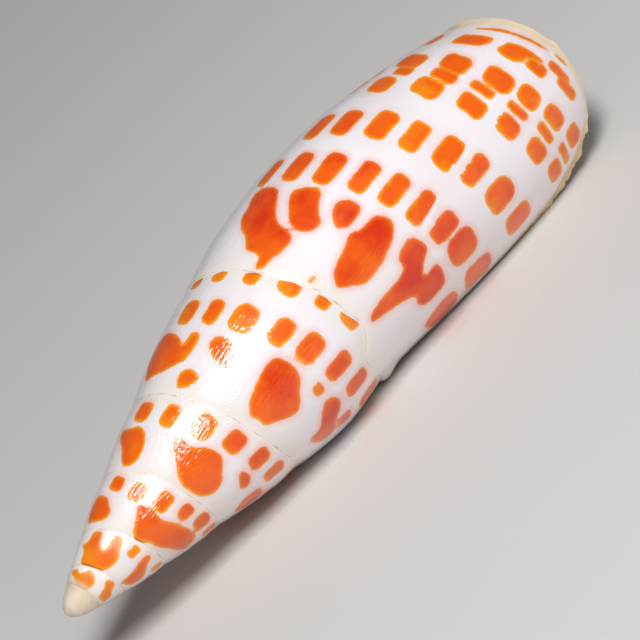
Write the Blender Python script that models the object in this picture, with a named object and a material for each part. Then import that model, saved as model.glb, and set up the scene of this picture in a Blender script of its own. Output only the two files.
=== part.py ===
"""Mitre shell: one grown piece, lying on its belly and lip.

The shell is worked out in its own frame first, in millimetres: x runs along the coiling
axis from the tip of the spire, and a turn counts growth about it, 0 on the back of the
body whorl and LIP at the free edge of the outer lip. The surface is one closed skin:
the spiral strip of the whorls, the body whorl down to its front edge, the edge of the
lip, and the cavity that winds in behind the lip round the pillar.
"""
import math

import bmesh
import bpy
import numpy as np
from mathutils import Matrix, Vector

MM = 0.001

# Driving dimensions, in millimetres along the axis and in turns about it
SPIRE_SCALE = 63.9
SPIRE_OFFSET = 5.0
GROWTH_PER_TURN = 1.553
TIP = -1.5
WORN_TIP = 2.5
LIP = 0.278
SUTURE_CLIMB = 4.85
CLIMB_START = 0.075
CLIMB_TURN = 0.075
FRONT_TIP = 120.5

# Growth is never even: each seam strays this far from the true spiral
STRAY_TURN = np.array([-3.4, -3.1, -2.85, -2.6, -2.1, -1.83, -1.4, -1.11, -1.0,
                       -0.9, -0.84, -0.5, -0.17, -0.1, 0.0, 0.055, 0.2])
STRAY = np.array([0.0, 0.1, 0.8, 0.5, 0.8, 0.9, 0.2, -0.2, -0.6,
                  -0.6, -0.3, 0.2, 0.6, 0.7, 0.9, 0.0, 0.0])

# Outline: radius at stations along the axis, and how far it swings to the lip side
STATION = np.array([-1.5, -0.9, 0.0, 2.0, 5.0, 10.0, 18.0, 28.0, 40.0, 52.0,
                    64.0, 76.0, 88.0, 98.0, 106.0, 113.0, 118.0, 121.0])
RADIUS = np.array([0.2, 1.25, 1.95, 2.85, 4.05, 5.8, 8.25, 11.0, 14.2, 16.5,
                   17.6, 18.6, 18.9, 18.35, 17.4, 15.8, 13.8, 11.8])
SWING = np.array([0.2, 0.3, 0.35, 0.35, 0.3, 0.25, 0.1, 0.0, -0.1, -0.3,
                  -1.1, -0.6, 0.6, 2.1, 3.3, 4.3, 4.6, 4.6])
TAPER = np.array([0.0, 0.0, 0.0, 0.0, 0.0, 0.0, 0.0, 0.0, 0.0, 0.0,
                  0.0, 0.8, 2.4, 4.3, 6.0, 7.2, 7.4, 7.2])
TAPER_START = -0.16
TAPER_TURN = 0.36

# Underside: the wall draws in from the seam of the next whorl to the pillar
RECESS_AT = np.array([0.0, 0.06, 0.12, 0.22, 0.40, 0.60, 0.80, 1.0])
RECESS = np.array([1.0, 0.975, 0.915, 0.79, 0.56, 0.40, 0.29, 0.19])
BELLY_TURN = 0.45
BELLY_POWER = 2.6

# Whorl sides swell between seams, and each seam is a shallow lapped step
SWELL = 0.028
SWELL_MEAN = 0.35
COVER_BLEND = 0.08
SEAM_DEPTH = 0.016
SEAM_FRONT = 0.6
SEAM_BACK = 3.0

# Front edge of the shell against the turn: tip of the pillar, notch, lip corner
EDGE_TURN = np.array([-1.45, -1.2, -1.05, -0.85, -0.65, -0.55, -0.45, -0.35, -0.25,
                      -0.15, -0.07, 0.01, 0.10, 0.17, 0.225, 0.258, 0.278])
EDGE_AT = np.array([104.0, 116.5, 119.2, 120.4, 120.5, 120.2, 119.2, 117.4, 115.6,
                    115.0, 116.0, 118.2, 120.3, 120.9, 120.3, 118.6, 115.5])
NOTCH_TURN = -0.20

# Growth lines: how far, in turns, the lip draws back on its way to its front end
SLANT_AT = np.array([62.0, 76.0, 84.0, 92.0, 101.0, 110.0, 116.0, 121.0])
SLANT = np.array([0.0, -0.015, -0.0275, -0.042, -0.056, -0.080, -0.105, -0.130])
FLARE = 0.6
FLARE_REACH = 2.0
FLARE_START = -0.35
FLARE_RISE = 0.08
FLARE_END = 0.06
FLARE_FALL = 0.10

# Wall and cavity
WALL = 2.0
LIP_EDGE = 1.3
INSET = 4.5
CAVITY_TURNS = 0.75
CAVITY_ROOF = 0.14
CAVITY_END = 0.2
NOTCH_OPENING = 0.14
RIM_ROUND = 0.45
RIM_SKIP = 0.3

# Folds on the pillar, the rear one strongest
FOLD_AT = (82.0, 88.0, 93.5, 98.0)
FOLD_HEIGHT = (1.5, 1.3, 1.0, 0.7)
FOLD_WIDTH = 1.5
FOLD_SLOPE = 16.0
FOLD_START = -0.62
FOLD_RISE = 0.08

# Mesh fineness
STEPS = 40
WHORL_ROWS = np.array([0.0, 0.05, 0.18, 0.40, 0.65, 0.86, 1.0])
SHOULDER_ROWS = 3
WALL_ROWS = 24
ROW_CROWDING = 1.15
JUNCTION_RUN = 26.0
TIP_RINGS = 4
FIRST_TURN = -5.85

# Rest: the shell lies on its belly and on the outer lip, both rubbed flat this far
# below the axis
REST_ROLL = math.radians(62.0)
REST_PITCH = math.radians(0.9)
REST_DEPTH = 14.65


def smooth(t):
    """Eased step from 0 to 1."""
    t = np.clip(t, 0.0, 1.0)
    return t * t * (3.0 - 2.0 * t)


def curve(at, stations, values):
    """Smooth curve through the stations, cubic between each pair."""
    slopes = np.gradient(values, stations)
    at = np.clip(at, stations[0], stations[-1])
    i = np.clip(np.searchsorted(stations, at) - 1, 0, len(stations) - 2)
    gap = stations[i + 1] - stations[i]
    t = (at - stations[i]) / gap
    rise = values[i] * (1 + 2 * t) * (1 - t) ** 2 + values[i + 1] * t * t * (3 - 2 * t)
    lean = slopes[i] * t * (1 - t) ** 2 - slopes[i + 1] * t * t * (1 - t)
    return rise + lean * gap


def suture(turn):
    """Place along the axis of the seam that starts a whorl at this turn."""
    grown = SPIRE_SCALE * GROWTH_PER_TURN ** turn - SPIRE_OFFSET
    climbed = grown - SUTURE_CLIMB * smooth((turn - CLIMB_START) / CLIMB_TURN)
    strayed = climbed + curve(turn, STRAY_TURN, STRAY)
    return np.maximum(strayed, WORN_TIP)


def radius(x, turn):
    """Radius of the outside of the whorl laid down at this turn."""
    swing = np.sin(2 * np.pi * turn)
    full = curve(x, STATION, RADIUS) + curve(x, STATION, SWING) * swing
    full = full - curve(x, STATION, TAPER) * smooth((TAPER_START - turn) / TAPER_TURN)
    seam = suture(turn + 1.0)
    seam_radius = curve(seam, STATION, RADIUS) + curve(seam, STATION, SWING) * swing
    beyond = np.clip((x - seam) / (FRONT_TIP - seam), 0.0, 1.0)
    recess = seam_radius * curve(beyond, RECESS_AT, RECESS)
    for place, height in zip(FOLD_AT, FOLD_HEIGHT):
        ridge = place + FOLD_SLOPE * (turn - FOLD_START)
        shown = smooth((FOLD_START - turn) / FOLD_RISE)
        recess = recess + height * shown * np.exp(-((x - ridge) / FOLD_WIDTH) ** 2)
    opened = np.clip((turn - (LIP - 1.0)) / BELLY_TURN, 0.0, 1.0)
    fullness = 1.0 - (1.0 - opened) ** BELLY_POWER
    wall = np.where(x > seam, recess + (full - recess) * fullness, full)
    start = suture(turn)
    depth = SEAM_DEPTH * curve(start, STATION, RADIUS)
    groove = np.exp(-np.maximum(x - start, 0.0) / SEAM_FRONT)
    covered = smooth((LIP - 1.0 - turn) / COVER_BLEND + 0.5)
    across = np.clip((x - start) / np.maximum(seam - start, 0.01), 0.0, 1.0)
    wall = wall * (1.0 + SWELL * covered * (np.sin(np.pi * across) - SWELL_MEAN))
    groove = np.maximum(groove, covered * np.exp(-np.maximum(seam - x, 0.0) / SEAM_BACK))
    groove = np.where(x > seam + 0.01, groove * (1.0 - covered), groove)
    notch = smooth((turn - FLARE_START) / FLARE_RISE) * smooth((FLARE_END - turn) / FLARE_FALL)
    flare = FLARE * notch * np.exp(-np.maximum(front_edge(turn - slant(x)) - x, 0.0) / FLARE_REACH)
    return wall - depth * groove + flare


def front_edge(turn):
    """Place along the axis of the front edge at this turn."""
    return curve(turn, EDGE_TURN, EDGE_AT)


def slant(x):
    """Lean of the growth lines, in turns: the lip draws back towards its front end."""
    return curve(x, SLANT_AT, SLANT)


def outside(x, turn):
    """Points on the outside of the shell."""
    angle = 2 * np.pi * (turn + slant(x))
    r = radius(x, turn + slant(x))
    return np.stack([x + 0 * r, -r * np.sin(angle), r * np.cos(angle)], -1)


def inside(x, turn, wall):
    """Points one wall thickness in from the outside, square to its profile."""
    leaned = turn + slant(x)
    step = 0.2
    steepness = (radius(x + step, leaned) - radius(x - step, leaned)) / (2 * step)
    steepness = np.clip(steepness, -2.0, 2.0)
    length = np.sqrt(1 + steepness ** 2)
    r = radius(x, leaned) - wall / length
    angle = 2 * np.pi * leaned
    return np.stack([x + wall * steepness / length, -r * np.sin(angle), r * np.cos(angle)], -1)


class Skin:
    """Vertices and faces of the closed skin as they are laid down."""

    def __init__(self):
        self.points = []
        self.faces = []
        self.count = 0

    def add(self, points):
        """Adds an array of points and returns their numbers in the same layout."""
        points = np.asarray(points, float)
        numbers = np.arange(points[..., 0].size).reshape(points.shape[:-1]) + self.count
        self.points.append(points.reshape(-1, 3))
        self.count += numbers.size
        return numbers

    def at(self, numbers):
        """Points of the given numbers."""
        return np.concatenate(self.points)[np.asarray(numbers)]

    def face(self, corners):
        """One face, less any corner that repeats."""
        kept = []
        for corner in corners:
            if int(corner) not in kept:
                kept.append(int(corner))
        if len(kept) > 2:
            self.faces.append(kept)

    def grid(self, numbers):
        """Quads between neighbouring rows and columns."""
        for j in range(numbers.shape[0] - 1):
            for i in range(numbers.shape[1] - 1):
                self.face((numbers[j, i], numbers[j, i + 1], numbers[j + 1, i + 1], numbers[j + 1, i]))

    def zip(self, first, second):
        """Triangles between two edges that have different numbers of points."""
        runs = []
        for chain in (first, second):
            steps = np.linalg.norm(np.diff(self.at(chain), axis=0), axis=1)
            run = np.concatenate([[0.0], np.cumsum(steps)])
            runs.append(run / run[-1])
        i = 0
        k = 0
        while i < len(first) - 1 or k < len(second) - 1:
            if k == len(second) - 1 or (i < len(first) - 1 and runs[0][i + 1] <= runs[1][k + 1]):
                self.face((first[i], first[i + 1], second[k]))
                i += 1
            else:
                self.face((first[i], second[k + 1], second[k]))
                k += 1


def shell_skin():
    """Lays down the whole skin, strip by strip, with shared edges."""
    skin = Skin()
    columns = int(round((LIP - FIRST_TURN) * STEPS))
    turns = LIP - (columns - np.arange(columns + 1)) / STEPS
    last_turn = columns - STEPS
    top = len(WHORL_ROWS) - 1

    start = suture(turns)
    end = suture(turns + 1.0)
    grown = turns - (LIP - 1.0)
    end = np.where(grown > 0, suture(np.array(LIP)) + JUNCTION_RUN * grown, end)
    x = start[:, None] + (end - start)[:, None] * WHORL_ROWS[None, :]
    whorl = skin.add(outside(x, turns[:, None]))
    whorl[0, :] = whorl[0, 0]
    whorl[STEPS, 0] = whorl[0, 0]
    whorl[:last_turn + 1, top] = whorl[STEPS:, 0]
    skin.grid(whorl)

    ring = whorl[:STEPS, 0]
    around = turns[:STEPS]
    for k in range(1, TIP_RINGS + 1):
        x_ring = TIP + (WORN_TIP - TIP) * (1.0 - math.sin(math.pi / 2 * k / (TIP_RINGS + 1)))
        inner = skin.add(outside(np.full(STEPS, x_ring), around))
        skin.grid(np.stack([np.append(ring, ring[0]), np.append(inner, inner[0])]))
        ring = inner
    tip = skin.add([[TIP, 0.0, 0.0]])[0]
    for j in range(STEPS):
        skin.face((tip, ring[j], ring[(j + 1) % STEPS]))

    deep = int(round(CAVITY_TURNS * STEPS))
    wall_turns = LIP - 1.0 + (np.arange(deep + STEPS + 1) - deep) / STEPS
    grown = wall_turns - (LIP - 1.0)
    seam = np.where(grown > 0, suture(np.array(LIP)) + JUNCTION_RUN * grown, suture(wall_turns + 1.0))
    shoulder = np.linspace(0.0, 1.0, SHOULDER_ROWS + 1)[:-1]
    down = np.sin(np.pi / 2 * np.linspace(0.0, 1.0, WALL_ROWS + 1) ** ROW_CROWDING)
    inner_seam = seam + INSET
    rows_near = seam[:, None] + INSET * shoulder[None, :]
    rows_far = inner_seam[:, None] + (front_edge(wall_turns) - inner_seam)[:, None] * down[None, :]
    x = np.concatenate([rows_near, rows_far], 1)
    wall = skin.add(outside(x, wall_turns[:, None]))
    wall[deep:, 0] = whorl[last_turn:, top]
    skin.grid(wall[deep:, :])
    skin.grid(wall[:deep + 1, SHOULDER_ROWS:])

    turns_in = LIP - np.arange(deep + 1) / STEPS
    floor = wall[deep::-1, SHOULDER_ROWS:]
    begin = suture(turns_in) + INSET
    reach = begin[:, None] + (front_edge(turns_in) - begin)[:, None] * down[None, :]
    roof = inside(reach, turns_in[:, None], WALL)
    share = np.linspace(0.0, 1.0, WALL_ROWS + 1)[None, :]
    opened = smooth((turns_in - NOTCH_TURN) / NOTCH_OPENING)[:, None]
    shut = 1.0 - (1.0 - opened) * (1.0 - smooth((1.0 - share) / CAVITY_END))
    free = smooth(share / CAVITY_ROOF) * shut
    below = skin.at(floor)
    ceiling = skin.add(below + (roof - below) * free[..., None])
    notch_column = int(round((LIP - NOTCH_TURN) * STEPS))
    ceiling[:, 0] = floor[:, 0]
    ceiling[notch_column:, -1] = floor[notch_column:, -1]
    skin.grid(ceiling)
    skin.grid(np.stack([ceiling[-1], floor[-1]]))

    front = deep + STEPS
    last_free = front - notch_column
    lip_chain = np.concatenate([whorl[-1, :], wall[front, 1:]])
    lip_back = np.concatenate([whorl[-2, :], wall[front - 1, 1:]])
    edge_chain = wall[last_free:front, -1][::-1]
    edge_back = wall[last_free:front, -2][::-1]
    outer = np.concatenate([lip_chain, edge_chain])
    behind = np.concatenate([lip_back, edge_back])
    away = skin.at(outer) - skin.at(behind)
    away /= np.linalg.norm(away, axis=1)[:, None]
    places = skin.at(outer)
    edge_turns = np.concatenate([np.full(len(lip_chain), LIP), wall_turns[last_free:front][::-1]])
    inward = inside(places[:, 0], edge_turns, LIP_EDGE) - places
    attached = smooth((places[:, 0] - suture(np.array(LIP)) - RIM_SKIP) / INSET)
    attached = np.where(np.arange(len(outer)) < len(lip_chain), attached, 1.0)
    middle = places + (0.5 * inward + RIM_ROUND * LIP_EDGE * away) * attached[:, None]
    rim = skin.add(middle)
    rim[0] = outer[0]
    skin.grid(np.stack([outer, rim]))
    inner_lip = np.concatenate([wall[deep, :SHOULDER_ROWS + 1], ceiling[0, 1:]])
    inner_edge = ceiling[:notch_column + 1, -1]
    skin.zip(rim[:len(lip_chain)], inner_lip)
    skin.zip(rim[len(lip_chain) - 1:], inner_edge)

    loop = list(wall[deep - notch_column:last_free + 1, -1]) + [rim[-1]]
    centre = skin.add([[float(skin.at(loop)[:, 0].mean()), 0.0, 0.0]])[0]
    for j in range(len(loop)):
        skin.face((centre, loop[j], loop[(j + 1) % len(loop)]))
    return skin


def laid_down(points):
    """Turns the shell to the way it rests, rubs it flat there, and sets it over the origin."""
    rest = Matrix.Rotation(-REST_PITCH, 3, 'Y') @ Matrix.Rotation(REST_ROLL, 3, 'X')
    points = points @ np.array(rest).T
    points[:, 2] = np.maximum(points[:, 2], -REST_DEPTH)
    low = points.min(0)
    high = points.max(0)
    middle = (low + high) / 2
    return (points - np.array([middle[0], middle[1], low[2]])) * MM


def shell_material():
    """Glazed white shell, for the one solid."""
    material = bpy.data.materials.new("glazed_shell")
    material.use_nodes = True
    shader = material.node_tree.nodes["Principled BSDF"]
    shader.inputs["Base Color"].default_value = (0.88, 0.82, 0.80, 1.0)
    shader.inputs["Roughness"].default_value = 0.25
    shader.inputs["Metallic"].default_value = 0.0
    return material


def build_shell():
    """The shell as one closed solid."""
    skin = shell_skin()
    points = laid_down(np.concatenate(skin.points))
    used = sorted({corner for face in skin.faces for corner in face})
    renumber = {old: new for new, old in enumerate(used)}
    mesh = bpy.data.meshes.new("shell")
    faces = [[renumber[corner] for corner in face] for face in skin.faces]
    mesh.from_pydata([Vector(points[old]) for old in used], [], faces)
    solid = bmesh.new()
    solid.from_mesh(mesh)
    bmesh.ops.recalc_face_normals(solid, faces=solid.faces)
    solid.to_mesh(mesh)
    solid.free()
    mesh.shade_smooth()
    mesh.set_sharp_from_angle(angle=math.radians(50.0))
    mesh.materials.append(shell_material())
    shell = bpy.data.objects.new("shell", mesh)
    bpy.context.scene.collection.objects.link(shell)
    return shell


for old_object in list(bpy.data.objects):
    bpy.data.objects.remove(old_object)
build_shell()
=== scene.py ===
"""Looks of a mitre shell, lying on its belly and lip on a pale floor."""
import math

import bmesh
import bpy
import numpy as np
from mathutils import Matrix, Vector


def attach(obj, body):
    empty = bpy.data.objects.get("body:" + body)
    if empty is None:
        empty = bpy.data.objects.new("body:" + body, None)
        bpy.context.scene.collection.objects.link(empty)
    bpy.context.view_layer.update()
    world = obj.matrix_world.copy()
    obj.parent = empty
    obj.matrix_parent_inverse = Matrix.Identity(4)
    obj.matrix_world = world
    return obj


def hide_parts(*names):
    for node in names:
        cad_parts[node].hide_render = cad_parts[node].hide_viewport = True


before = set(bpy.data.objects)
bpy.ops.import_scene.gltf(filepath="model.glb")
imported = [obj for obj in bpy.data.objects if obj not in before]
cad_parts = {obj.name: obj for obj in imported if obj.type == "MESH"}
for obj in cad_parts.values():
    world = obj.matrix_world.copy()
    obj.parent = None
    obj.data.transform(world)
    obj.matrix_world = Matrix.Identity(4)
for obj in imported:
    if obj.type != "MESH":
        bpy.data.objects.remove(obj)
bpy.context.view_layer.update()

# The shell is one piece of lime that the snail laid down at its lip, whorl on whorl, round
# a pillar. Lengths are millimetres along the coiling axis x, from the tip of the spire,
# and turns count growth about it: 0 on the back of the body whorl, LIP at the lip's edge.
MM = 0.001
SPIRE_SCALE = 63.9
SPIRE_OFFSET = 5.0
GROWTH_PER_TURN = 1.553
TIP = -1.5
WORN_TIP = 2.5
LIP = 0.278
SUTURE_CLIMB = 4.85
CLIMB_START = 0.075
CLIMB_TURN = 0.075
FRONT_TIP = 120.5
STRAY_TURN = np.array([-3.4, -3.1, -2.85, -2.6, -2.1, -1.83, -1.4, -1.11, -1.0,
                       -0.9, -0.84, -0.5, -0.17, -0.1, 0.0, 0.055, 0.2])
STRAY = np.array([0.0, 0.1, 0.8, 0.5, 0.8, 0.9, 0.2, -0.2, -0.6,
                  -0.6, -0.3, 0.2, 0.6, 0.7, 0.9, 0.0, 0.0])

# Small unevenness, as sine waves: rate, phase and height of each
CRINKLE = 0.0042
CRINKLE_WAVES = ((31.0, 0.0, 0.4), (83.0, 1.0, 0.3), (167.0, 2.0, 0.22))
RIPPLE = 0.14
RIPPLE_WAVES = ((41.0, 0.0, 1.0), (97.0, 2.0, 0.6))

# Outline of the whorls at stations along the axis: the mean radius, its swing from side to
# side, and how much slimmer the hidden turns are
STATION = np.array([-1.5, -0.9, 0.0, 2.0, 5.0, 10.0, 18.0, 28.0, 40.0, 52.0,
                    64.0, 76.0, 88.0, 98.0, 106.0, 113.0, 118.0, 121.0])
RADIUS = np.array([0.2, 1.25, 1.95, 2.85, 4.05, 5.8, 8.25, 11.0, 14.2, 16.5,
                   17.6, 18.6, 18.9, 18.35, 17.4, 15.8, 13.8, 11.8])
SWING = np.array([0.2, 0.3, 0.35, 0.35, 0.3, 0.25, 0.1, 0.0, -0.1, -0.3,
                  -1.1, -0.6, 0.6, 2.1, 3.3, 4.3, 4.6, 4.6])
TAPER = np.array([0.0, 0.0, 0.0, 0.0, 0.0, 0.0, 0.0, 0.0, 0.0, 0.0,
                  0.0, 0.8, 2.4, 4.3, 6.0, 7.2, 7.4, 7.2])
TAPER_START = -0.16
TAPER_TURN = 0.36

# The underside, set back behind the mouth, and the swell and steps of the whorls
RECESS_AT = np.array([0.0, 0.06, 0.12, 0.22, 0.40, 0.60, 0.80, 1.0])
RECESS = np.array([1.0, 0.975, 0.915, 0.79, 0.56, 0.40, 0.29, 0.19])
BELLY_TURN = 0.45
BELLY_POWER = 2.6
SWELL = 0.028
SWELL_MEAN = 0.35
COVER_BLEND = 0.08
SEAM_DEPTH = 0.008
SEAM_FRONT = 0.6
SEAM_BACK = 3.0

# The front edge from the pillar's end round to the lip, the lean of the growth lines, the
# flared notch, and the lobe at the lip's rear corner
EDGE_TURN = np.array([-1.45, -1.2, -1.05, -0.85, -0.65, -0.55, -0.45, -0.35, -0.25,
                      -0.15, -0.07, 0.01, 0.10, 0.17, 0.225, 0.258, 0.278])
EDGE_AT = np.array([104.0, 116.5, 119.2, 120.4, 120.5, 120.2, 119.2, 117.4, 115.6,
                    115.0, 116.0, 118.2, 120.3, 120.9, 120.3, 118.6, 115.5])
SLANT_AT = np.array([62.0, 76.0, 84.0, 92.0, 101.0, 110.0, 116.0, 121.0])
SLANT = np.array([0.0, -0.015, -0.0275, -0.042, -0.056, -0.080, -0.105, -0.130])
FLARE = 0.6
FLARE_REACH = 2.0
FLARE_START = -0.35
FLARE_RISE = 0.08
FLARE_END = 0.06
FLARE_FALL = 0.10
CORNER_AT = 62.6
CORNER_LENGTH = 1.9
CORNER_HEIGHT = 0.6
CORNER_START = 0.21
CORNER_RISE = 0.04

# Folds on the pillar
FOLD_AT = (82.0, 88.0, 93.5, 98.0)
FOLD_HEIGHT = (1.5, 1.3, 1.0, 0.7)
FOLD_WIDTH = 1.5
FOLD_SLOPE = 16.0
FOLD_START = -0.62
FOLD_RISE = 0.08


def smooth(t):
    """Eased step from 0 to 1: three t squared less two t cubed."""
    t = np.clip(t, 0.0, 1.0)
    return t * t * (3.0 - 2.0 * t)


def waves(at, table):
    """Sum of sine waves, each with its rate, phase and height from the table."""
    total = 0.0
    for rate, phase, height in table:
        total = total + height * np.sin(rate * at + phase)
    return total


def curve(at, stations, values):
    """Cubic curve through the stations, with the slope at each from its neighbours."""
    slopes = np.gradient(values, stations)
    at = np.clip(at, stations[0], stations[-1])
    i = np.clip(np.searchsorted(stations, at) - 1, 0, len(stations) - 2)
    gap = stations[i + 1] - stations[i]
    t = (at - stations[i]) / gap
    rise = values[i] * (1 + 2 * t) * (1 - t) ** 2 + values[i + 1] * t * t * (3 - 2 * t)
    lean = slopes[i] * t * (1 - t) ** 2 - slopes[i + 1] * t * t * (1 - t)
    return rise + lean * gap


def suture(turn):
    """Where a whorl starts: a growing spiral, drawn back near the lip, a little uneven."""
    grown = SPIRE_SCALE * GROWTH_PER_TURN ** turn - SPIRE_OFFSET
    climbed = grown - SUTURE_CLIMB * smooth((turn - CLIMB_START) / CLIMB_TURN)
    strayed = climbed + curve(turn, STRAY_TURN, STRAY)
    crinkled = strayed + CRINKLE * grown * waves(turn, CRINKLE_WAVES)
    return np.maximum(crinkled, WORN_TIP)


def front_edge(turn):
    """Where the shell ends in front: pillar tip, notch and lip corner on one curve, with
    a small ripple added."""
    return curve(turn, EDGE_TURN, EDGE_AT) + RIPPLE * waves(turn, RIPPLE_WAVES)


def slant(x):
    """Lean of the growth lines in turns: a curve through values along the axis."""
    return curve(x, SLANT_AT, SLANT)


def radius(x, turn):
    """Radius of the outside: the outline, less the recess of the underside with its folds,
    swollen between seams, stepped in at each seam, flared at the notch, and with a lobe at
    the rear corner of the lip."""
    swing = np.sin(2 * np.pi * turn)
    full = curve(x, STATION, RADIUS) + curve(x, STATION, SWING) * swing
    full = full - curve(x, STATION, TAPER) * smooth((TAPER_START - turn) / TAPER_TURN)
    seam = suture(turn + 1.0)
    seam_radius = curve(seam, STATION, RADIUS) + curve(seam, STATION, SWING) * swing
    beyond = np.clip((x - seam) / (FRONT_TIP - seam), 0.0, 1.0)
    recess = seam_radius * curve(beyond, RECESS_AT, RECESS)
    for place, height in zip(FOLD_AT, FOLD_HEIGHT):
        ridge = place + FOLD_SLOPE * (turn - FOLD_START)
        shown = smooth((FOLD_START - turn) / FOLD_RISE)
        recess = recess + height * shown * np.exp(-((x - ridge) / FOLD_WIDTH) ** 2)
    opened = np.clip((turn - (LIP - 1.0)) / BELLY_TURN, 0.0, 1.0)
    fullness = 1.0 - (1.0 - opened) ** BELLY_POWER
    wall = np.where(x > seam, recess + (full - recess) * fullness, full)
    start = suture(turn)
    depth = SEAM_DEPTH * curve(start, STATION, RADIUS)
    groove = np.exp(-np.maximum(x - start, 0.0) / SEAM_FRONT)
    covered = smooth((LIP - 1.0 - turn) / COVER_BLEND + 0.5)
    across = np.clip((x - start) / np.maximum(seam - start, 0.01), 0.0, 1.0)
    wall = wall * (1.0 + SWELL * covered * (np.sin(np.pi * across) - SWELL_MEAN))
    groove = np.maximum(groove, covered * np.exp(-np.maximum(seam - x, 0.0) / SEAM_BACK))
    groove = np.where(x > seam + 0.01, groove * (1.0 - covered), groove)
    notch = smooth((turn - FLARE_START) / FLARE_RISE) * smooth((FLARE_END - turn) / FLARE_FALL)
    from_edge = np.maximum(front_edge(turn - slant(x)) - x, 0.0)
    corner = np.exp(-((x - CORNER_AT) / CORNER_LENGTH) ** 2)
    wall = wall + CORNER_HEIGHT * corner * smooth((turn - CORNER_START) / CORNER_RISE)
    return wall - depth * groove + FLARE * notch * np.exp(-from_edge / FLARE_REACH)


# Teeth of the lip: a row of small cusps that the snail left along the edge, from the same
# lime, worn round. Those near the front are the tallest.
TOOTH_PITCH = 2.3
TOOTH_DEPTH = 0.5
TOOTH_RISE = 0.42
TOOTH_REACH = 0.013
TOOTH_UNEVEN = 0.25
TOOTH_FAINT = 0.25
TOOTH_FROM = 70.0
TOOTH_FADE = 22.0
TOOTH_POWER = 0.8
PITCH_WAVES = ((0.81, 0.0, 0.35), (2.3, 1.0, 0.2))
HEIGHT_WAVES = ((1.37, 0.6, 0.25),)
LIP_RADIUS = 18.0


def cusps(x, turn):
    """How far a point near the lip's edge stands out as a tooth, from 0 to 1: a row of
    rounded cusps along the edge, uneven in pitch and height, fading out behind it."""
    phase = x / TOOTH_PITCH + waves(x, PITCH_WAVES)
    height = 1.0 - TOOTH_UNEVEN + waves(x, HEIGHT_WAVES)
    shown = TOOTH_FAINT + (1.0 - TOOTH_FAINT) * smooth((x - TOOTH_FROM) / TOOTH_FADE)
    near = smooth(1.0 - (LIP - turn) / TOOTH_REACH)
    return height * shown * near * np.abs(np.sin(np.pi * phase)) ** TOOTH_POWER


def toothed(x, turn):
    """Turn of a point near the lip, moved forward on a tooth and back beside it."""
    near = smooth(1.0 - (LIP - turn) / TOOTH_REACH)
    return turn + TOOTH_DEPTH * (cusps(x, turn) - near) / (2 * np.pi * LIP_RADIUS)


def outside(x, turn):
    """Points on the outside: the radius at this place and turn, flared on the lip's teeth,
    swung round the axis."""
    angle = 2 * np.pi * (turn + slant(x))
    r = radius(x, turn + slant(x)) + TOOTH_RISE * cusps(x, turn)
    return np.stack([x + 0 * r, -r * np.sin(angle), r * np.cos(angle)], -1)


def inside(x, turn, wall):
    """Points one wall in from the outside, square to its profile."""
    leaned = turn + slant(x)
    step = 0.2
    steepness = (radius(x + step, leaned) - radius(x - step, leaned)) / (2 * step)
    steepness = np.clip(steepness, -2.0, 2.0)
    length = np.sqrt(1 + steepness ** 2)
    r = radius(x, leaned) - wall / length
    angle = 2 * np.pi * leaned
    return np.stack([x + wall * steepness / length, -r * np.sin(angle), r * np.cos(angle)], -1)


class Skin:
    """Points, faces and painted values of the closed skin as they are laid down."""

    def __init__(self):
        self.points = []
        self.faces = []
        self.values = []
        self.count = 0

    def add(self, points, **painted):
        """Adds an array of points with x, turn and kind, and returns their numbers."""
        points = np.asarray(points, float)
        shape = points.shape[:-1]
        numbers = np.arange(points[..., 0].size).reshape(shape) + self.count
        self.points.append(points.reshape(-1, 3))
        rows = [np.broadcast_to(painted[name], shape).reshape(-1)
                for name in ("x", "turn", "kind", "edge")]
        self.values.append(np.stack(rows, -1))
        self.count += numbers.size
        return numbers

    def at(self, numbers):
        """Points of the given numbers."""
        return np.concatenate(self.points)[numbers]

    def grid(self, numbers):
        """Two triangles in each cell between neighbouring rows and columns."""
        a = numbers[:-1, :-1].ravel()
        b = numbers[:-1, 1:].ravel()
        c = numbers[1:, 1:].ravel()
        d = numbers[1:, :-1].ravel()
        self.faces.append(np.stack([a, b, c], -1))
        self.faces.append(np.stack([a, c, d], -1))

    def zip(self, first, second):
        """Triangles between two edges, each step taken by the edge that is behind."""
        runs = []
        for chain in (first, second):
            steps = np.linalg.norm(np.diff(self.at(chain), axis=0), axis=1)
            run = np.cumsum(steps)
            runs.append(run / run[-1])
        k = np.searchsorted(runs[1], runs[0] - 1e-9, side="left")
        i = np.searchsorted(runs[0] - 1e-9, runs[1], side="right")
        self.faces.append(np.stack([first[:-1], first[1:], second[k]], -1))
        self.faces.append(np.stack([first[i], second[1:], second[:-1]], -1))


# The whorls are one spiral strip of shell, each turn of it resting on the turn before along
# a seam. It starts inside the worn tip and ends at the lip.
OUTER = 0.0
INNER = 1.0
FIRST_TURN = -5.85
STEPS = 192
WHORL_ROWS = 30
SEAM_CROWDING = 0.35
JUNCTION_RUN = 26.0
MEAN_RADIUS = 17.5
skin = Skin()
columns = int(round((LIP - FIRST_TURN) * STEPS))
turns = LIP - (columns - np.arange(columns + 1)) / STEPS
last_turn = columns - STEPS
start = suture(turns)
end = suture(turns + 1.0)
grown = turns - (LIP - 1.0)
end = np.where(grown > 0, suture(np.array(LIP)) + JUNCTION_RUN * grown, end)
share = np.linspace(0.0, 1.0, WHORL_ROWS + 1)
share = share - SEAM_CROWDING * np.sin(2 * np.pi * share) / (2 * np.pi)
x = start[:, None] + (end - start)[:, None] * share[None, :]
drawn = toothed(x, turns[:, None])
whorl = skin.add(outside(x, drawn), x=x, turn=drawn, kind=OUTER,
                 edge=(LIP - turns)[:, None] * 2 * np.pi * MEAN_RADIUS)
whorl[0, :] = whorl[0, 0]
whorl[STEPS, 0] = whorl[0, 0]
whorl[:last_turn + 1, -1] = whorl[STEPS:, 0]
skin.grid(whorl)

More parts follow.
